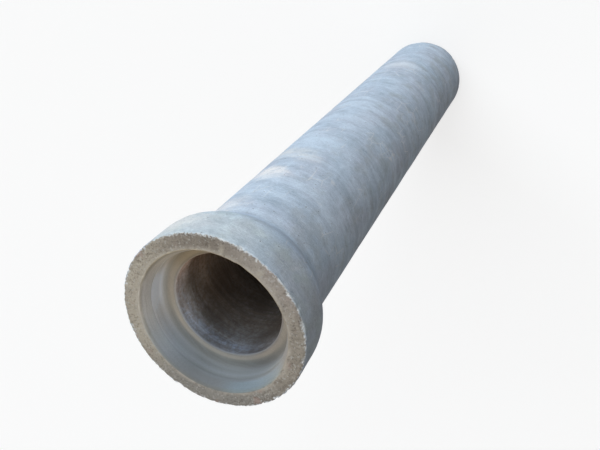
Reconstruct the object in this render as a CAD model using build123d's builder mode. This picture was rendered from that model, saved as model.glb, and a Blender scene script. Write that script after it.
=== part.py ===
"""Concrete culvert pipe, nominal 12 inch bore and 8 ft laying length, cast in one piece with a bell
at one end and a stepped spigot at the other. It stands on the spigot's face with the bell up.
Millimetres, +Z up, the pipe's axis on Z.
"""

import os
from math import cos, radians, sin, tan

from build123d import *

# Barrel
boreRadius = 152.4
wallThickness = 50.8
layingLength = 2438.4

# Bell
bellRadius = 252.4
bellLand = 101.6
flareAngle = radians(30)
flareCrownRadius = 100.0
flareFootRadius = 100.0

# Spigot
spigotLength = 85.7
shoulderStep = 11.2
shelfTaper = 1.5
gasketOffset = 6.35
tipLand = 50.8
tipRadius = 12.7

# Socket inside the bell, which takes the next pipe's spigot with a rubber ring round its tip land
homeGap = 3.2
gasketSpace = 6.35
mouthFlare = 15.9
leadInLength = 31.75
rootRadius = 22.0

# Arrises, as the forms leave them
bellArris = 6.0
mouthArris = 5.0
boreEndArris = 6.0
barrelArris = 3.0

barrelRadius = boreRadius + wallThickness
shelfRadius = barrelRadius - shoulderStep
landRadius = shelfRadius - shelfTaper - gasketOffset
seatRadius = landRadius + gasketSpace
mouthRadius = seatRadius + mouthFlare
socketDepth = spigotLength + homeGap

# Heights over the floor
overallLength = layingLength + socketDepth
socketShoulder = overallLength - socketDepth
leadInEnd = overallLength - leadInLength
landEnd = overallLength - bellLand

# The flare, down from the bell's land: a convex crown, a straight slope and a concave foot, each
# tangent to the next
crownRun = flareCrownRadius * sin(flareAngle)
crownDrop = flareCrownRadius * (1 - cos(flareAngle))
footRun = flareFootRadius * sin(flareAngle)
footDrop = flareFootRadius * (1 - cos(flareAngle))
slopeDrop = bellRadius - barrelRadius - crownDrop - footDrop
slopeRun = slopeDrop / tan(flareAngle)
flareEnd = landEnd - crownRun - slopeRun - footRun


def corner(sketch, radius, height):
    """The corner of the profile at this distance from the axis and height over the floor."""
    return sketch.vertices().sort_by_distance((radius, height, 0))[0]


with BuildPart() as culvert_pipe:
    with BuildSketch(Plane.XZ) as section:
        with BuildLine():
            # Outside, from the spigot's tip up to the bell's face
            Polyline(
                (boreRadius, 0),
                (landRadius, 0),
                (landRadius, tipLand),
                (shelfRadius - shelfTaper, tipLand),
                (shelfRadius, spigotLength),
                (barrelRadius, spigotLength),
                (barrelRadius, flareEnd),
            )
            foot = RadiusArc(
                (barrelRadius, flareEnd),
                (barrelRadius + footDrop, flareEnd + footRun),
                flareFootRadius,
            )
            slope = Line(foot @ 1, (foot @ 1) + Vector(slopeDrop, slopeRun))
            RadiusArc(slope @ 1, (bellRadius, landEnd), -flareCrownRadius)
            # Over the face and down through the socket, past its shoulder and along the bore
            Polyline(
                (bellRadius, landEnd),
                (bellRadius, overallLength),
                (mouthRadius, overallLength),
                (seatRadius, leadInEnd),
                (seatRadius, socketShoulder),
                (boreRadius, socketShoulder),
                (boreRadius, 0),
            )
        make_face()
        fillet(corner(section, bellRadius, overallLength), bellArris)
        fillet(corner(section, mouthRadius, overallLength), mouthArris)
        fillet(corner(section, seatRadius, socketShoulder), rootRadius)
        fillet(corner(section, boreRadius, 0), boreEndArris)
        fillet(corner(section, landRadius, 0), tipRadius)
        fillet(corner(section, barrelRadius, spigotLength), barrelArris)
    revolve(axis=Axis.Z)

culvert_pipe.part.label = "culvert_pipe"
os.makedirs("parts", exist_ok=True)
export_step(culvert_pipe.part, "parts/culvert_pipe.step")
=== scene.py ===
import math

import bpy
from mathutils import Matrix, Vector


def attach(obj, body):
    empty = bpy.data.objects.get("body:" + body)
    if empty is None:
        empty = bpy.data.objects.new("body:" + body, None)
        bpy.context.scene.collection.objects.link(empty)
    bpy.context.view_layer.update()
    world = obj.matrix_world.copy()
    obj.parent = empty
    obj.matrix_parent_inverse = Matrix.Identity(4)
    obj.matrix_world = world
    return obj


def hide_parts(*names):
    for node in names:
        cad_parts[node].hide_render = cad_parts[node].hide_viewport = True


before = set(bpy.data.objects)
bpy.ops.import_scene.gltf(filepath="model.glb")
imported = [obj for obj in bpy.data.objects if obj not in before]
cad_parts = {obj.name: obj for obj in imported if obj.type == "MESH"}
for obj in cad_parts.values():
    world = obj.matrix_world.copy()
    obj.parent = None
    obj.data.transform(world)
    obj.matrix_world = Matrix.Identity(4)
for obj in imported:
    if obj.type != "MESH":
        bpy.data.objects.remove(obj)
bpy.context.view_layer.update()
bpy.ops.object.select_all(action="DESELECT")
print("frame loaded")


# The pipe stands on its spigot. Its profile is a chain of points that is rounded, cut up and spun.
pipe = {
    "segments": 480,
    "tipRadius": 0.18415,
    "shelfRadius": 0.1905,
    "shelfFoot": 0.0508,
    "shelfEnd": 0.192,  # the shelf widens to this radius
    "barrelRadius": 0.2032,
    "barrelFoot": 0.0857,
    "barrelPlain": 0.125,  # from here up the cuts are far apart
    "flareFoot": 2.313688,
    "flareCrown": 2.398905,
    "bellRadius": 0.2524,
    "bellPlain": 2.5,  # from here up the cuts are close
    "topHeight": 2.5273,
    "mouthRadius": 0.2064,
    "seatRadius": 0.1905,
    "seatTop": 2.49555,
    "shoulderHeight": 2.4384,
    "boreRadius": 0.1524,
    "borePlain": 2.40,  # from here down the cuts are far apart
    "startSize": 0.01,  # of the plane that is merged into the profile's first point
    "touching": 1e-5,  # points closer than this are one
    "smoothUnder": 50,  # degrees between faces
}
# radius, height, rounding, steps in the rounding, cuts from here to the next corner
pipe["profile"] = [
    (pipe["boreRadius"], 0.0, 0.006, 3, 5),
    (pipe["tipRadius"], 0.0, 0.0127, 5, 8),
    (pipe["tipRadius"], pipe["shelfFoot"], 0.0012, 1, 1),
    (pipe["shelfRadius"], pipe["shelfFoot"], 0.0018, 2, 7),
    (pipe["shelfEnd"], pipe["barrelFoot"], 0.0012, 1, 2),
    (pipe["barrelRadius"], pipe["barrelFoot"], 0.003, 3, 9),
    (pipe["barrelRadius"], pipe["barrelPlain"], 0, 0, 32),
    (pipe["barrelRadius"], pipe["flareFoot"], 0.1, 7, 3),
    (pipe["bellRadius"], pipe["flareCrown"], 0.1, 7, 6),
    (pipe["bellRadius"], pipe["bellPlain"], 0, 0, 6),
    (pipe["bellRadius"], pipe["topHeight"], 0.006, 5, 13),
    (pipe["mouthRadius"], pipe["topHeight"], 0.005, 4, 9),
    (pipe["seatRadius"], pipe["seatTop"], 0.003, 2, 7),
    (pipe["seatRadius"], pipe["shoulderHeight"], 0.022, 6, 4),
    (pipe["boreRadius"], pipe["shoulderHeight"], 0.0012, 1, 5),
    (pipe["boreRadius"], pipe["borePlain"], 0, 0, 26),
]


def pickPoints(thing, wanted):
    mesh = thing.data
    for part in (mesh.polygons, mesh.edges, mesh.vertices):
        part.foreach_set("select", [False] * len(part))
    for point in mesh.vertices:
        point.select = wanted(point.co)


def editing(thing, *steps):
    bpy.ops.object.mode_set(mode="EDIT")
    bpy.ops.mesh.select_mode(type="VERT")
    for step, settings in steps:
        step(**settings)
    bpy.ops.object.mode_set(mode="OBJECT")


def corner(row):
    return Vector((row[0], 0, row[1]))


def onLine(start, end):
    along = (end - start).normalized()
    length = (end - start).length

    def found(place):
        run = (place - start).dot(along)
        if not -pipe["touching"] < run < length + pipe["touching"]:
            return False
        return (place - start - along * run).length < pipe["touching"]

    return found


def drawnProfile(rows):
    bpy.ops.mesh.primitive_plane_add(size=pipe["startSize"], location=corner(rows[0]))
    chain = bpy.context.object
    bpy.ops.object.transform_apply(location=True, rotation=True, scale=True)
    editing(
        chain,
        (bpy.ops.mesh.select_all, {"action": "SELECT"}),
        (bpy.ops.mesh.merge, {"type": "CENTER"}),
    )
    moves = [corner(after) - corner(before) for before, after in zip(rows, rows[1:])]
    editing(chain, *[
        (bpy.ops.mesh.extrude_region_move, {"TRANSFORM_OT_translate": {"value": move}}) for move in moves
    ])
    ends = (corner(rows[0]), corner(rows[-1]))
    pickPoints(chain, lambda place: min((place - end).length for end in ends) < pipe["touching"])
    editing(chain, (bpy.ops.mesh.edge_face_add, {}))
    for number, row in enumerate(rows):  # roundings, each from its own radius
        if row[2]:
            back = corner(rows[number - 1]) - corner(row)
            on = corner(rows[(number + 1) % len(rows)]) - corner(row)
            setBack = row[2] / math.tan(back.angle(on) / 2)
            pickPoints(chain, lambda place: (place - corner(row)).length < pipe["touching"])
            editing(chain, (bpy.ops.mesh.bevel, {
                "offset": setBack, "segments": row[3], "affect": "VERTICES",
            }))
    for number, row in enumerate(rows):  # straight runs cut into short pieces
        pickPoints(chain, onLine(corner(row), corner(rows[(number + 1) % len(rows)])))
        editing(chain, (bpy.ops.mesh.subdivide, {"number_cuts": row[4]}))
    return chain


def spunPipe():
    piece = drawnProfile(pipe["profile"])
    piece.name = piece.data.name = "culvertPipe"
    editing(
        piece,
        (bpy.ops.mesh.select_all, {"action": "SELECT"}),
        (bpy.ops.mesh.spin, {
            "steps": pipe["segments"], "angle": 2 * math.pi, "center": (0, 0, 0), "axis": (0, 0, 1),
        }),
        (bpy.ops.mesh.select_all, {"action": "SELECT"}),
        (bpy.ops.mesh.remove_doubles, {"threshold": pipe["touching"]}),
        (bpy.ops.mesh.normals_make_consistent, {"inside": False}),
    )
    return piece


pipePiece = spunPipe()
print("pipe spun:", len(pipePiece.data.vertices), "points,", len(pipePiece.data.polygons), "faces")


# Chips, pits and crumbs, all pressed inwards from the cast surface: region, size of the noise in metres,
# its octaves, the noise at which the dent begins and at which it is full, depth in metres
damage = {
    "arrisCrumbs": ("bellArris", 0.007, 2, 0.42, 0.72, 0.0022),
    "arrisSpalls": ("bellArris", 0.034, 1, 0.60, 0.72, 0.0042),
    "faceGrain": ("bellFace", 0.0055, 2, 0.35, 0.80, 0.0004),
    "facePits": ("bellFace", 0.012, 0, 0.70, 0.80, 0.0018),
    "faceSag": ("bellFace", 0.09, 0, 0.2, 0.8, 0.0010),
    "mouthSpalls": ("mouthLip", 0.026, 1, 0.62, 0.78, 0.0014),
    "skinWaves": ("outerSkin", 0.11, 1, 0.2, 0.8, 0.0012),
    "spigotChips": ("spigotArris", 0.022, 1, 0.58, 0.70, 0.0030),
    "boreWaves": ("innerSkin", 0.07, 1, 0.2, 0.8, 0.0012),
}
# Metres from the middle of each region to where its damage is full and to where it is gone
reach = {
    "bellArris": (0.004, 0.016),
    "bellFace": (0.0195, 0.0225),
    "mouthLip": (0.003, 0.011),
    "barrelArris": (0.003, 0.011),
    "tip": (0.008, 0.02),
    "shelf": (0.002, 0.007),
    "skinFoot": (0.14, 0.1),  # heights
    "faceMiddle": 0.2295,  # radius
    "faceDepth": 0.002,
    "skinStart": 0.2,  # radius
    "skinTop": 0.006,  # under the bell's face
    "boreSkin": 0.156,  # radius
    "boreHeights": (0.02, 2.42),
    "floorGap": 0.0004,  # points lower than this stay, so that the pipe stands flat
    "tipShare": 0.8,
    "shelfShare": 0.6,
}


def fade(distance, full, gone):
    return max(0.0, min(1.0, (gone - distance) / (gone - full)))


def offAxis(place):
    return math.hypot(place.x, place.y)


def nearRing(place, radius, height):
    return math.hypot(offAxis(place) - radius, place.z - height)


def bellArris(place):
    return fade(nearRing(place, pipe["bellRadius"], pipe["topHeight"]), *reach["bellArris"])


def bellFace(place):
    if place.z < pipe["topHeight"] - reach["faceDepth"]:
        return 0.0
    return fade(abs(offAxis(place) - reach["faceMiddle"]), *reach["bellFace"])


def mouthLip(place):
    return fade(nearRing(place, pipe["mouthRadius"], pipe["topHeight"]), *reach["mouthLip"])


def outerSkin(place):
    if offAxis(place) < reach["skinStart"] or place.z > pipe["topHeight"] - reach["skinTop"]:
        return 0.0
    return fade(place.z, *reach["skinFoot"])


def spigotArris(place):
    if place.z <= reach["floorGap"]:
        return 0.0
    barrelEnd = fade(nearRing(place, pipe["barrelRadius"], pipe["barrelFoot"]), *reach["barrelArris"])
    tip = fade(nearRing(place, pipe["tipRadius"], 0.0), *reach["tip"])
    step = fade(nearRing(place, pipe["shelfRadius"], pipe["shelfFoot"]), *reach["shelf"])
    return max(barrelEnd, tip * reach["tipShare"], step * reach["shelfShare"])


def innerSkin(place):
    low, high = reach["boreHeights"]
    return 1.0 if offAxis(place) < reach["boreSkin"] and low < place.z < high else 0.0


regions = {
    "bellArris": bellArris, "bellFace": bellFace, "mouthLip": mouthLip,
    "outerSkin": outerSkin, "spigotArris": spigotArris, "innerSkin": innerSkin,
}


def weighRegions(piece):
    for name, weight in regions.items():
        group = piece.vertex_groups.new(name=name)
        for point in piece.data.vertices:
            share = weight(point.co)
            if share > 0:
                group.add([point.index], share, "REPLACE")


def grainTexture(name, size, octaves, start, full):
    texture = bpy.data.textures.new(name, "CLOUDS")
    texture.noise_scale = size
    texture.noise_depth = octaves
    texture.use_color_ramp = True
    stops = texture.color_ramp.elements
    stops[0].position, stops[0].color = start, (0, 0, 0, 1)
    stops[1].position, stops[1].color = full, (1, 1, 1, 1)
    return texture


def wear(piece):
    cast = [point.co.copy() for point in piece.data.vertices]
    bpy.context.view_layer.objects.active = piece
    for name, (region, size, octaves, start, full, deep) in damage.items():
        dent = piece.modifiers.new(name, "DISPLACE")
        dent.texture = grainTexture(name, size, octaves, start, full)
        dent.texture_coords = "LOCAL"
        dent.direction = "NORMAL"
        dent.mid_level = 0
        dent.strength = -deep
        dent.vertex_group = region
        bpy.ops.object.modifier_apply(modifier=name)
    # millimetres worn off, for the material
    lost = [(point.co - before).length * 1000 for point, before in zip(piece.data.vertices, cast)]
    kept = piece.data.attributes.new("lostSkin", "FLOAT", "POINT")
    kept.data.foreach_set("value", lost)
    piece.vertex_groups.clear()


weighRegions(pipePiece)
wear(pipePiece)
bpy.ops.object.select_all(action="DESELECT")
pipePiece.select_set(True)
bpy.context.view_layer.objects.active = pipePiece
bpy.ops.object.shade_smooth_by_angle(angle=math.radians(pipe["smoothUnder"]))
print("chips and pits pressed in")


# The concrete. Colours are linear, lengths are metres, bump heights are millimetres. -Y is the side that
# lay uppermost and +Y the one that lay on the ground.
finish = {
    "skin": (0.415, 0.452, 0.49),
    "skinPale": (0.545, 0.575, 0.60),
    "skinLow": (0.295, 0.32, 0.35),
    "skinLilac": (0.43, 0.43, 0.46),
    "skinBrown": (0.31, 0.295, 0.27),
    "skinGreen": (0.40, 0.445, 0.41),
    # sheen: a bluish painted highlight
    "paintedSheen": (0.56, 0.66, 0.74),
    "paleCream": (0.74, 0.70, 0.65),
    "blush": (0.82, 0.77, 0.735),
    "soil": (0.23, 0.20, 0.16),
    "faceTan": (0.25, 0.212, 0.168),
    "faceSand": (0.31, 0.268, 0.215),
    "faceBrown": (0.18, 0.148, 0.118),
    "faceGrey": (0.20, 0.195, 0.18),
    "facePale": (0.42, 0.365, 0.285),
    "facePink": (0.43, 0.37, 0.335),
    "faceDark": (0.13, 0.105, 0.08),
    "faceStone": (0.43, 0.41, 0.37),
    "faceRust": (0.31, 0.215, 0.175),
    "chip": (0.66, 0.655, 0.63),
    "lip": (0.40, 0.35, 0.28),
    "lipPale": (0.44, 0.385, 0.315),
    "leadIn": (0.40, 0.365, 0.32),
    "leadInEnd": (0.41, 0.385, 0.345),
    "seat": (0.45, 0.42, 0.37),
    "seatPale": (0.50, 0.475, 0.43),
    "seatFoot": (0.42, 0.385, 0.335),
    "root": (0.33, 0.295, 0.24),
    "rootPale": (0.41, 0.355, 0.28),
    "shoulder": (0.50, 0.435, 0.345),
    "boreLip": (0.36, 0.32, 0.275),
    "bore": (0.25, 0.205, 0.165),
    "borePale": (0.36, 0.335, 0.315),
    "boreDark": (0.15, 0.115, 0.085),
    "rough": (0.96, 0.82),  # in the grain's hollows and on its tops
    "shine": 0.3,
    "bumpStrength": 0.9,
    "bumpHeight": 0.001,
    "lineStray": 0.018,  # how far the line between skin and face strays
    "faceEdge": 0.0012,  # half the width over which one goes into the other
    "openHeights": (2.38, 2.40),  # between these the inside widens from the bore to the socket
    "openRadii": (0.168, 0.225),
    "insideEdge": 0.0005,
    "ringStray": 0.007,
    "boreStart": (0.143, 0.150),  # from the mouth
    "markSway": (0.0, 0.0, 0.05),  # how far the marks round the pipe rise and fall
    "markTurn": (5, -8, 0),
}

concrete = bpy.data.materials.new("weatheredConcrete")
concrete.use_nodes = True
tree = concrete.node_tree
tree.nodes.clear()


def node(kind, **settings):
    made = tree.nodes.new("ShaderNode" + kind)
    for name, value in settings.items():
        setattr(made, name, value)
    return made


def plug(socket, value):
    if isinstance(value, bpy.types.NodeSocket):
        tree.links.new(value, socket)
    elif isinstance(value, tuple) and len(value) == 3 and socket.type == "RGBA":
        socket.default_value = (*value, 1)
    else:
        socket.default_value = value


def calc(operation, *values):
    made = node("Math", operation=operation)
    for socket, value in zip(made.inputs, values):
        plug(socket, value)
    return made.outputs[0]


def vectorCalc(operation, *values, output="Vector"):
    made = node("VectorMath", operation=operation)
    for socket, value in zip(made.inputs, values):
        plug(socket, value)
    return made.outputs[output]


def between(value, low, high, start=0.0, end=1.0):
    made = node("MapRange", interpolation_type="SMOOTHSTEP")
    names = ("Value", "From Min", "From Max", "To Min", "To Max")
    for name, setting in zip(names, (value, low, high, start, end)):
        plug(made.inputs[name], setting)
    return made.outputs[0]


def blend(share, first, second, how="MIX"):
    made = node("Mix", data_type="RGBA", blend_type=how)
    plug(made.inputs[0], share)
    plug(made.inputs[6], first)
    plug(made.inputs[7], second)
    return made.outputs[2]


def mixed(share, first, second):
    made = node("Mix", data_type="FLOAT")
    plug(made.inputs[0], share)
    plug(made.inputs[2], first)
    plug(made.inputs[3], second)
    return made.outputs[0]


def mapped(place, scale=(1, 1, 1), turn=(0, 0, 0), shift=(0, 0, 0)):
    made = node("Mapping")
    plug(made.inputs["Vector"], place)
    made.inputs["Scale"].default_value = scale
    made.inputs["Rotation"].default_value = [math.radians(angle) for angle in turn]
    made.inputs["Location"].default_value = shift
    return made.outputs[0]


def clouds(place, scale, detail=2.0, rough=0.5, output=0):
    made = node("TexNoise")
    plug(made.inputs["Vector"], place)
    made.inputs["Scale"].default_value = scale
    made.inputs["Detail"].default_value = detail
    made.inputs["Roughness"].default_value = rough
    return made.outputs[output]


def cells(place, scale, feature="F1", output="Distance"):
    made = node("TexVoronoi", feature=feature)
    plug(made.inputs["Vector"], place)
    made.inputs["Scale"].default_value = scale
    return made.outputs[output]


def ramp(value, stops):
    made = node("ValToRGB")
    plug(made.inputs[0], value)
    points = made.color_ramp.elements
    while len(points) < len(stops):
        points.new(0.5)
    for point, (position, colour) in zip(points, stops):
        point.position, point.color = position, (*colour, 1)
    return made.outputs[0]


# Noise on the piece's own coordinates: stretch, shift, scale, detail, roughness
cloudMarks = {
    "ragged": ((1, 1, 1), (0, 0, 0), 130, 3, 0.65),
    "ringSway": ((1, 1, 1), (0, 0, 0), 14, 2, 0.5),
    "patches": ((1, 1, 0.6), (0, 0, 0), 6, 4, 0.55),
    "mottle": ((1, 1, 1), (4, 2, 6), 26, 4, 0.6),
    "grain": ((1, 1, 1), (0, 0, 0), 420, 3, 0.7),
    "brown": ((1, 1, 0.8), (6, 1, 4), 15, 5, 0.6),
    "green": ((1, 1, 1), (9, 4, 2), 12, 4, 0.6),
    "fray": ((1, 1, 1.5), (0, 0, 0), 28, 5, 0.65),
    "splash": ((1, 1, 1), (0, 0, 0), 7, 4, 0.6),
    "freckles": ((1, 1, 1.4), (2, 9, 5), 130, 5, 0.75),
    "scarPlaces": ((1, 1, 1), (0, 0, 0), 9, 2, 0.5),
    "sand": ((1, 1, 1), (0, 0, 0), 230, 4, 0.7),
    "sandPlaces": ((1, 1, 1), (0, 0, 0), 28, 3, 0.5),
    "crumbs": ((1, 1, 1), (1, 3, 5), 150, 3, 0.65),
    "outerPlaces": ((1, 1, 1), (0, 0, 0), 60, 3, 0.5),
    "stains": ((1, 1, 1), (2, 7, 3), 17, 3, 0.5),
    "lipPlaces": ((1, 1, 1), (0, 0, 0), 45, 3, 0.5),
    "speckle": ((1, 1, 1), (0, 0, 0), 95, 4, 0.65),
    "borePlaces": ((1, 1, 1), (0, 0, 0), 11, 3, 0.5),
    "rimPlaces": ((1, 1, 1), (0, 0, 0), 150, 3, 0.6),
    "chipPlaces": ((1, 1, 1), (0, 0, 0), 160, 3, 0.5),
}
# The same for marks that run round the pipe and sway a little
ringMarks = {
    "dragFine": ((20, 20, 150), (0, 0, 0), 1, 3, 0.6),
    "dragBroad": ((9, 9, 48), (3, 1, 7), 1, 3, 0.55),
    "dragWide": ((4, 4, 19), (5, 2, 1), 1, 3, 0.5),
    "crazed": ((110, 110, 260), (0, 0, 0), 1, 4, 0.7),
    "socketRings": ((5, 5, 260), (0, 0, 0), 1, 3, 0.6),
    "boreRings": ((3, 3, 75), (2, 5, 1), 1, 3, 0.6),
}

place = node("TexCoord").outputs["Object"]
sway = clouds(place, 5, output="Color")
bent = vectorCalc("MULTIPLY_ADD", sway, finish["markSway"], mapped(place, turn=finish["markTurn"]))
measure = {}  # every noise and distance that a layer can ask for
for table, coordinates in ((cloudMarks, place), (ringMarks, bent)):
    for name, (stretch, shift, scale, detail, rough) in table.items():
        measure[name] = clouds(mapped(coordinates, stretch, shift=shift), scale, detail, rough)
parts = node("SeparateXYZ")
plug(parts.inputs[0], place)
measure["wide"], measure["side"], measure["height"] = parts.outputs
measure["offMiddle"] = calc("ABSOLUTE", measure["side"])
across = vectorCalc("MULTIPLY", place, (1, 1, 0))
radius = measure["radius"] = vectorCalc("LENGTH", across, output="Value")
measure["lost"] = node("Attribute", attribute_name="lostSkin").outputs["Fac"]
scarLines = mapped(bent, (1, 1, 0.35), turn=(0, 20, 0), shift=(1, 1, 1))
measure["scars"] = cells(scarLines, 24, "DISTANCE_TO_EDGE")
measure["blowHoles"] = between(cells(place, 38), 0.10, 0.05)
measure["pits"] = between(cells(mapped(place, shift=(8, 2, 1)), 95), 0.20, 0.12)
stoneTones = node("SeparateColor")
plug(stoneTones.inputs[0], cells(place, 240, output="Color"))
measure["paleStones"], measure["darkStones"] = stoneTones.outputs[0], stoneTones.outputs[1]

# Where each zone begins, with ragged borders
ragged = calc("SUBTRACT", measure["ragged"], 0.5)
depth = calc("SUBTRACT", pipe["topHeight"], measure["height"])
inward = calc("SUBTRACT", pipe["bellRadius"], radius)
stray = calc("MULTIPLY", ragged, finish["lineStray"])
pastArris = calc("ADD", calc("SUBTRACT", inward, depth), stray)
measure["nearArris"] = calc("ABSOLUTE", pastArris)
onFace = between(pastArris, -finish["faceEdge"], finish["faceEdge"])
openRadius = between(measure["height"], *finish["openHeights"], *finish["openRadii"])
inside = between(calc("SUBTRACT", openRadius, radius), -finish["insideEdge"], finish["insideEdge"])
run = calc("ADD", calc("SUBTRACT", depth, radius), pipe["mouthRadius"])  # from the mouth inwards
ringStray = calc("MULTIPLY", calc("SUBTRACT", measure["ringSway"], 0.5), finish["ringStray"])
measure["run"], measure["softRun"] = run, calc("ADD", run, ringStray)
measure["brownAt"] = calc("MULTIPLY", measure["brown"], between(measure["wide"], 0.10, -0.12, 0.80, 1.0))
measure["onBarrel"] = between(measure["height"], 2.40, 2.30)


def product(*values):
    total = values[0]
    for value in values[1:]:
        total = calc("MULTIPLY", total, value)
    return total


def share(name, *ends):
    return between(measure[name], *ends) if ends else measure[name]


def where(*limits):
    return product(*[share(*limit) for limit in limits])


def layered(base, layers):
    for tone, strength, *limits in layers:
        if isinstance(tone, str):
            top = finish[tone]
        else:
            top = blend(1.0, base, tone, "MULTIPLY")
        base = blend(product(where(*limits), strength), base, top)
    return base


def shaded(base, name, low, lowTint, high, highTint):
    return blend(1.0, base, ramp(measure[name], [(low, lowTint), (high, highTint)]), "MULTIPLY")


# A layer is a tone of the finish, or a tint that multiplies what lies below, then its strength, then
# its limits: a measure alone, or with the value at which the layer starts, the value at which it is full
# and, where they are not 0 and 1, the shares there.

# Outer skin: pale and bluish, faint drag marks round the pipe, soft mottling, pale cream spots, soil, a
# painted sheen and a painted highlight on the flare
castLayers = (
    ("skinLow", 0.55, ("mottle", 0.50, 0.70)),
    ("skinPale", 0.60, ("mottle", 0.48, 0.30)),
    ("skinPale", 0.50, ("dragWide", 0.50, 0.66), ("height", 2.40, 2.30)),
    ("skinLow", 0.40, ("dragWide", 0.48, 0.34), ("height", 2.40, 2.30)),
    ("skinPale", 0.34, ("dragBroad", 0.48, 0.70)),
    ("skinLow", 0.24, ("dragBroad", 0.46, 0.30)),
    ("skinPale", 0.30, ("dragFine", 0.52, 0.70)),
    ("skinLow", 0.28, ("dragFine", 0.47, 0.32)),
    ("skinBrown", 0.36, ("brownAt", 0.48, 0.66)),
    ((1.04, 1.11, 1.18), 1.0, ("height", 2.44, 2.37)),  # barrel
    ((0.96, 1.0, 1.03), 1.0, ("height", 2.37, 2.44)),  # bell
    ((1.0, 1.05, 1.10), 1.0, ("height", 2.29, 2.33), ("height", 2.44, 2.39)),  # flare
    # painted highlight: the flare lighter on the side that lay uppermost, towards +X
    ((1.18, 1.17, 1.10), 1.0, ("height", 2.33, 2.38), ("side", -0.14, -0.22), ("wide", -0.14, 0.0)),
    ("skinGreen", 0.32, ("green", 0.46, 0.62), ("height", 2.30, 2.42)),
)
# Pale spots, and the sheen entries, which are painted highlights on the side that lay uppermost
paleSpotsAndPaintedSheen = (  # centre, reach, tone, strength
    ((0.105, -0.174, 2.15), 0.110, "paintedSheen", 0.20),
    ((0.075, -0.189, 1.72), 0.150, "paintedSheen", 0.45),
    ((0.112, -0.170, 1.98), 0.058, "blush", 0.85),
    ((0.080, -0.187, 2.02), 0.055, "blush", 0.60),
    ((0.130, -0.157, 1.80), 0.055, "paleCream", 0.45),
    ((0.080, -0.187, 1.83), 0.060, "paleCream", 0.36),
    ((0.020, -0.203, 1.87), 0.050, "paleCream", 0.30),
    ((0.137, -0.150, 2.24), 0.080, "blush", 0.60),
    ((0.150, -0.165, 2.33), 0.080, "paleCream", 0.60),
    ((0.150, -0.200, 2.45), 0.095, "paleCream", 0.7),
    ((0.035, -0.200, 0.60), 0.100, "blush", 0.35),
)
patchShape = {"flat": 1.35, "fray": 0.13, "gone": 1.45, "full": 0.10}  # the last two in reaches
wornLayers = (
    ("skinPale", 1.0, ("freckles", 0.56, 0.66), ("onBarrel", 0.0, 1.0, 0.48, 0.30)),
    ("skinLow", 1.0, ("freckles", 0.44, 0.35), ("onBarrel", 0.0, 1.0, 0.55, 0.32)),
    ("paleCream", 0.35, ("scars", 0.035, 0.012), ("scarPlaces", 0.55, 0.63)),
    ("faceDark", 0.6, ("blowHoles",)),
)
skin = blend(where(("patches", 0.34, 0.66)), finish["skinLilac"], finish["skin"])
skin = layered(skin, castLayers)
fray = calc("MULTIPLY", calc("SUBTRACT", measure["fray"], 0.5), patchShape["fray"])
squashed = mapped(place, (1, 1, patchShape["flat"]))
for (x, y, z), size, tone, strength in paleSpotsAndPaintedSheen:
    away = vectorCalc("DISTANCE", squashed, (x, y, z * patchShape["flat"]), output="Value")
    near = between(calc("ADD", away, fray), size * patchShape["gone"], size * patchShape["full"])
    skin = blend(product(near, strength), skin, finish[tone])
skin = layered(skin, (("soil", 0.25, ("side", 0.02, 0.21), ("splash", 0.38, 0.7)),))
skin = shaded(skin, "crazed", 0.30, (0.86, 0.87, 0.88), 0.70, (1.12, 1.11, 1.10))
skin = shaded(skin, "grain", 0.25, (0.84, 0.84, 0.84), 0.75, (1.13, 1.13, 1.13))
skin = layered(skin, wornLayers)

# Bell's end face: trowelled, sandy and pitted, tan, browner where it was uppermost, greyer below
sandLayers = (
    ("faceBrown", 0.55, ("side", -0.08, -0.20), ("wide", -0.10, 0.04)),
    ("faceGrey", 0.55, ("side", 0.06, 0.22)),
    ("facePale", 0.8, ("wide", 0.06, 0.23)),
)
pitLayers = (
    ("faceStone", 0.45, ("paleStones", 0.88, 0.92)),
    ("faceDark", 0.40, ("darkStones", 0.88, 0.92)),
    ("faceDark", 0.28, ("crumbs", 0.46, 0.32)),
    ("faceBrown", 0.45, ("radius", 0.234, 0.249), ("outerPlaces", 0.35, 0.6)),
    ("faceRust", 0.55, ("stains", 0.58, 0.68)),
    ("faceDark", 0.7, ("pits",)),
    ("facePink", 0.28, ("wide", 0.02, -0.09), ("side", -0.08, -0.17)),
    ("facePale", 0.50, ("smears", 0.60, 0.72)),
)
paleSmears = (  # degrees round the pipe, reach as a share of the radius, strength
    (-92.6, 0.042, 0.75),
    (-84.6, 0.026, 0.30),
    (-119.5, 0.044, 0.70),
)
smearShape = {"fray": 0.03, "edgeFray": 0.02, "gone": 0.243, "full": 0.221}  # the last two are radii
bearings = vectorCalc("NORMALIZE", across)
measure["smears"] = clouds(mapped(bearings, shift=(3, 8, 0)), 11, 3, 0.6)
face = blend(where(("sandPlaces", 0.36, 0.64)), finish["faceTan"], finish["faceSand"])
face = layered(face, sandLayers)
face = shaded(face, "sand", 0.3, (0.80, 0.79, 0.78), 0.7, (1.17, 1.17, 1.17))
face = layered(face, pitLayers)
frayedRadius = calc("ADD", radius, calc("MULTIPLY", ragged, smearShape["edgeFray"]))
innerFace = between(frayedRadius, smearShape["gone"], smearShape["full"])
for degrees, size, strength in paleSmears:
    bearing = (math.cos(math.radians(degrees)), math.sin(math.radians(degrees)), 0)
    aside = vectorCalc("DISTANCE", bearings, bearing, output="Value")
    frayed = calc("ADD", aside, calc("MULTIPLY", ragged, smearShape["fray"]))
    face = blend(product(between(frayed, size, 0.0), innerFace, strength), face, finish["facePale"])
face = layered(face, (("lipPale", 0.6, ("radius", 0.2215, 0.209), ("lipPlaces", 0.30, 0.55)),))

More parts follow.
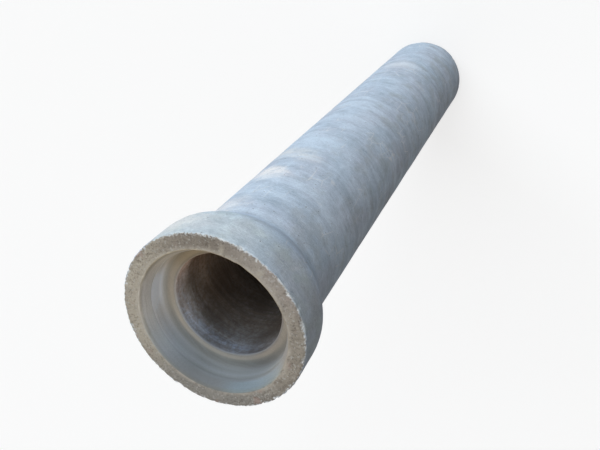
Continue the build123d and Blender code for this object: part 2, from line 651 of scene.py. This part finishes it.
# Socket and bore, ring after ring from the mouth inwards
ringTones = (  # metres from the mouth, tone
    (-0.010, "lip"), (0.005, "lip"), (0.014, "leadIn"), (0.034, "leadIn"), (0.046, "leadInEnd"),
    (0.055, "seat"), (0.066, "seatPale"), (0.078, "seat"), (0.086, "seat"), (0.095, "seatFoot"),
    (0.105, "root"), (0.115, "root"), (0.121, "rootPale"), (0.128, "shoulder"), (0.135, "shoulder"),
    (0.140, "boreLip"),
)
rampStart, rampRate = 0.0625, 6.25  # the ramp from 0 to 1 covers 160 mm, from 10 mm before the mouth
atRing = calc("MULTIPLY_ADD", measure["softRun"], rampRate, rampStart)
rings = ramp(atRing, [(rampStart + rampRate * at, finish[tone]) for at, tone in ringTones])
socket = layered(rings, (
    ("seatPale", 0.2, ("socketRings", 0.52, 0.72)),
    ("root", 0.2, ("socketRings", 0.46, 0.30)),
))
bore = blend(where(("speckle", 0.34, 0.74)), finish["bore"], finish["borePale"])
bore = layered(bore, (("boreDark", 0.6, ("borePlaces", 0.40, 0.66)),))
bore = shaded(bore, "boreRings", 0.32, (0.80, 0.80, 0.81), 0.68, (1.17, 1.16, 1.15))
inner = blend(between(measure["softRun"], *finish["boreStart"]), socket, bore)
inner = shaded(inner, "grain", 0.25, (0.84, 0.84, 0.84), 0.75, (1.12, 1.12, 1.12))

# Painted light and shade inside the socket and bore, with one band of dirt, entry by entry below
leadIn = ("run", 0.062, 0.046)
seat = (("run", 0.045, 0.056), ("run", 0.130, 0.088))
shoulder = (("run", 0.122, 0.130), ("run", 0.146, 0.139))
inBore = ("run", 0.138, 0.150)
paintedLightAndDirtLayers = (
    # cold painted skylight on the side that lay lowest, warm painted ground bounce on the side that lay
    # uppermost
    ((0.42, 0.49, 0.58), 0.9, ("side", 0.02, 0.16)),
    ((1.0, 0.92, 0.79), 0.9, ("side", -0.01, -0.15)),
    # painted light on +X in the lead-in and seat and painted skylight on the shoulder's lowest side; the
    # darker lead-in band on the lowest side is dirt
    ((1.62, 1.66, 1.72), 0.95, ("wide", 0.04, 0.15), leadIn),
    ((0.75, 0.75, 0.75), 0.8, ("side", 0.13, 0.18), leadIn),
    ((2.1, 2.15, 2.3), 0.9, ("wide", 0.03, 0.18), *seat),
    ((1.45, 1.36, 1.28), 0.9, ("side", 0.05, 0.12), *shoulder),
    # painted shade on -X, then painted light at the bore's opening and on its +X side
    ((0.80, 0.77, 0.76), 0.9, ("wide", -0.10, -0.18), leadIn),
    ((0.62, 0.60, 0.60), 0.8, ("wide", -0.02, -0.15), ("run", 0.075, 0.10)),
    ((1.6, 1.68, 1.85), 0.8, inBore, ("run", 0.22, 0.16)),
    ((2.25, 2.4, 2.55), 0.9, inBore, ("run", 0.24, 0.18), ("wide", 0.03, 0.13)),
    # painted skylight on the lead-in's lowest side and painted light on the seat at +X
    ((1.12, 1.30, 1.41), 0.9, ("side", 0.03, 0.10), ("wide", -0.02, -0.09), ("run", 0.046, 0.034)),
    ((1.18, 1.29, 1.44), 0.9, ("offMiddle", 0.08, 0.02), ("wide", 0.10, 0.17), *seat),
    # painted shade on the uppermost side and painted shadow just under the mouth's upper edge
    ((0.80, 0.77, 0.70), 0.8, ("side", -0.05, -0.10), ("run", 0.070, 0.085)),
    ((0.70, 0.71, 0.70), 0.8, ("side", -0.03, -0.10), ("wide", 0.06, 0.14), ("run", 0.026, 0.014)),
    # on the bore's lowest side a band of painted shade with a cold cast, then painted skylight
    ((0.62, 0.68, 0.74), 0.4, ("side", 0.05, 0.11), ("run", 0.138, 0.146), ("run", 0.168, 0.158)),
    ((1.15, 1.40, 1.70), 0.3, ("side", 0.10, 0.14), ("run", 0.158, 0.168), ("run", 0.20, 0.178)),
    # warmer and lighter deeper in the bore, and painted warm ground bounce on the bore's uppermost side
    ((1.30, 1.15, 1.0), 0.9, ("run", 0.19, 0.30)),
    ((1.10, 0.80, 0.60), 0.85, inBore, ("side", 0.06, -0.07)),
)
inner = layered(inner, paintedLightAndDirtLayers)

# All zones together: skin, face, inside, the spigot's end as the face, and pale broken edges
onInside = product(inside, where(("run", -0.004, 0.001)))
atArris = ("radius", 0.228, 0.234)
edgeLayers = (
    ("chip", 1.0, ("nearArris", 0.0050, 0.0015), ("rimPlaces", 0.44, 0.58), atArris,
     ("wide", 0.20, 0.08, 0.15, 0.60)),
    ("chip", 0.7, ("lost", 1.2, 2.6), atArris, ("nearArris", 0.010, 0.004), ("chipPlaces", 0.38, 0.60)),
)
colour = blend(onFace, skin, face)
colour = blend(onInside, colour, inner)
colour = blend(where(("height", 0.010, 0.003)), colour, face)
colour = layered(colour, edgeLayers)

reliefs = {  # each mark with its height in millimetres
    "skin": (("dragFine", 0.55), ("grain", 0.5), ("crazed", 0.7), ("blowHoles", -1.4)),
    "face": (("sand", 0.9), ("crumbs", 0.9), ("pits", -0.8)),
    "inner": (("socketRings", 0.5), ("speckle", 0.9)),
}


def relief(zone):
    total = 0.0
    for name, rise in reliefs[zone]:
        total = calc("MULTIPLY_ADD", measure[name], rise, total)
    return total


bump = node("Bump")
bump.inputs["Distance"].default_value = finish["bumpHeight"]
bump.inputs["Strength"].default_value = finish["bumpStrength"]
outside = mixed(onFace, relief("skin"), relief("face"))
plug(bump.inputs["Height"], mixed(onInside, outside, relief("inner")))

surface = node("BsdfPrincipled")
plug(surface.inputs["Base Color"], colour)
plug(surface.inputs["Roughness"], between(measure["grain"], 0.2, 0.8, *finish["rough"]))
surface.inputs["Specular IOR Level"].default_value = finish["shine"]
plug(surface.inputs["Normal"], bump.outputs[0])
output = node("OutputMaterial")
tree.links.new(surface.outputs[0], output.inputs["Surface"])

pipePiece.data.materials.clear()
pipePiece.data.materials.append(concrete)
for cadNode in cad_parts.values():
    cadNode.data.materials.clear()
    cadNode.data.materials.append(concrete)
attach(pipePiece, "root")
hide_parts("culvert_pipe")
print("concrete laid on")


# Studio: pale floor, one broad key from the side that lay uppermost, even fill, and the camera
studio = {
    "floorSize": 120,
    "floorDrop": 0.0005,
    "floorColour": (0.29, 0.28, 0.268),
    "floorRoughness": 0.9,
    "floorShine": 0.1,
    "floorGlow": 0.69,  # for the camera only
    "keyFrom": (0.47, -0.80, 0.36),
    "keyStrength": 3.95,
    "keySpread": 70,
    "keyColour": (0.86, 0.96, 1.06),
    "topFrom": (-0.30, -0.05, 0.95),
    "topStrength": 0.75,
    "topSpread": 80,
    "backFrom": (0.32, 0.92, 0.22),
    "backStrength": 1.1,
    "backSpread": 90,
    "white": (1, 1, 1),
    "lampDistance": 6,
    "fill": 0.15,
    "cameraFrom": (-2.186, -4.228, 4.677),  # in bell radii from the mouth's centre
    "cameraRight": (-0.8009, 0.0, -0.5987),
    "cameraUp": (0.2368, -0.9184, -0.3177),
    "bellUnit": 0.2510,
    "lens": 40.0,
    "turn": (0.308, -0.144),  # to the right and up, towards the pipe's middle
    "seeTo": 500,
}


def litFloor():
    bpy.ops.mesh.primitive_plane_add(size=studio["floorSize"], location=(0, 0, -studio["floorDrop"]))
    floor = bpy.context.object
    floor.name = "paleFloor"
    look = bpy.data.materials.new("paleFloor")
    look.use_nodes = True
    nodes, links = look.node_tree.nodes, look.node_tree.links
    plain = nodes["Principled BSDF"]
    plain.inputs["Base Color"].default_value = (*studio["floorColour"], 1)
    plain.inputs["Roughness"].default_value = studio["floorRoughness"]
    plain.inputs["Specular IOR Level"].default_value = studio["floorShine"]
    glow = nodes.new("ShaderNodeEmission")
    seen = nodes.new("ShaderNodeLightPath")
    level = nodes.new("ShaderNodeMath")
    level.operation = "MULTIPLY"
    level.inputs[1].default_value = studio["floorGlow"]
    links.new(seen.outputs["Is Camera Ray"], level.inputs[0])
    links.new(level.outputs[0], glow.inputs["Strength"])
    together = nodes.new("ShaderNodeAddShader")
    links.new(plain.outputs[0], together.inputs[0])
    links.new(glow.outputs[0], together.inputs[1])
    links.new(together.outputs[0], nodes["Material Output"].inputs["Surface"])
    floor.data.materials.append(look)
    return floor


floor = litFloor()


def softSun(name, source, strength, spread, colour):
    bpy.ops.object.light_add(type="SUN", location=Vector(source) * studio["lampDistance"])
    lamp = bpy.context.object
    lamp.name = name
    lamp.rotation_euler = Vector(source).to_track_quat("Z", "Y").to_euler()
    lamp.data.energy, lamp.data.angle, lamp.data.color = strength, math.radians(spread), colour


softSun("keyLight", studio["keyFrom"], studio["keyStrength"], studio["keySpread"], studio["keyColour"])
softSun("topLight", studio["topFrom"], studio["topStrength"], studio["topSpread"], studio["white"])
softSun("backLight", studio["backFrom"], studio["backStrength"], studio["backSpread"], studio["white"])

world = bpy.data.worlds.new("evenFill")
bpy.context.scene.world = world
world.use_nodes = True
sky = world.node_tree.nodes["Background"]
sky.inputs["Color"].default_value = (*studio["white"], 1)
path = world.node_tree.nodes.new("ShaderNodeLightPath")
level = world.node_tree.nodes.new("ShaderNodeMapRange")
world.node_tree.links.new(path.outputs["Is Camera Ray"], level.inputs["Value"])
level.inputs["To Min"].default_value = studio["fill"]
level.inputs["To Max"].default_value = 1.0
world.node_tree.links.new(level.outputs[0], sky.inputs["Strength"])

right, up = Vector(studio["cameraRight"]).normalized(), Vector(studio["cameraUp"]).normalized()
back = right.cross(up)
aim = -back + right * studio["turn"][0] + up * studio["turn"][1]
swing = (-back).rotation_difference(aim)
right, up, back = swing @ right, swing @ up, swing @ back
viewpoint = Vector((0, 0, pipe["topHeight"])) + Vector(studio["cameraFrom"]) * studio["bellUnit"]
bpy.ops.object.camera_add(location=viewpoint)
camera = bpy.context.object
camera.rotation_euler = Matrix((right, up, back)).transposed().to_euler()
camera.data.lens = studio["lens"]
camera.data.clip_end = studio["seeTo"]
bpy.context.scene.camera = camera
bpy.context.scene.view_settings.view_transform = "Standard"
print("floor, lights and camera set")
